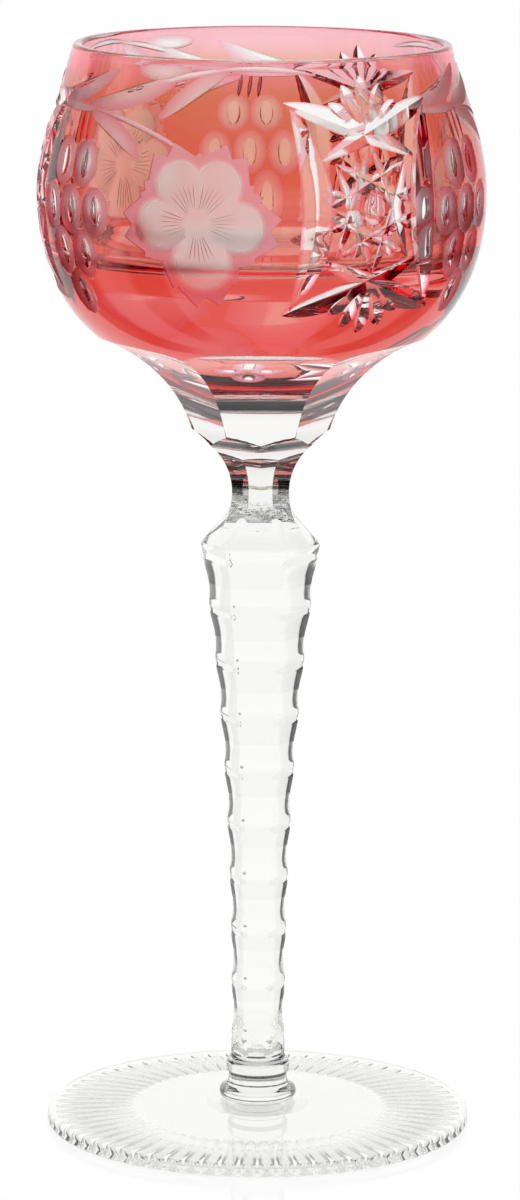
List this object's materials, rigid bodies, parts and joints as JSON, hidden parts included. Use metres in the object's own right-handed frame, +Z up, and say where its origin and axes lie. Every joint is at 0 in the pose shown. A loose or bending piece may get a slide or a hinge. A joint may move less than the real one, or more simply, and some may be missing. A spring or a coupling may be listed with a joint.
{
  "type": "hock glass",
  "caption": "Tall stemmed wine glass: cut ruby-over-clear bowl, facetted neck, notched six-sided stem and round fluted foot",
  "frame": {"origin": "middle of the foot's underside, on the surface the glass stands on", "axes": "+Z up the axis of the glass, -Y towards the viewer of the picture, +X to the viewer's right"},
  "size_m": [0.0832, 0.0832, 0.205],
  "materials": {
    "ruby_glass": "polished, with matte and polished wheel cuts",
    "clear_crystal": "polished, with wheel-cut facets"
  },
  "bodies": {
    "root": {"ruby_casing": "ruby_glass", "crystal_bowl": "clear_crystal", "neck_merese": "clear_crystal", "stem_shaft": "clear_crystal", "foot_merese": "clear_crystal", "foot": "clear_crystal"}
  },
  "joints": []
}
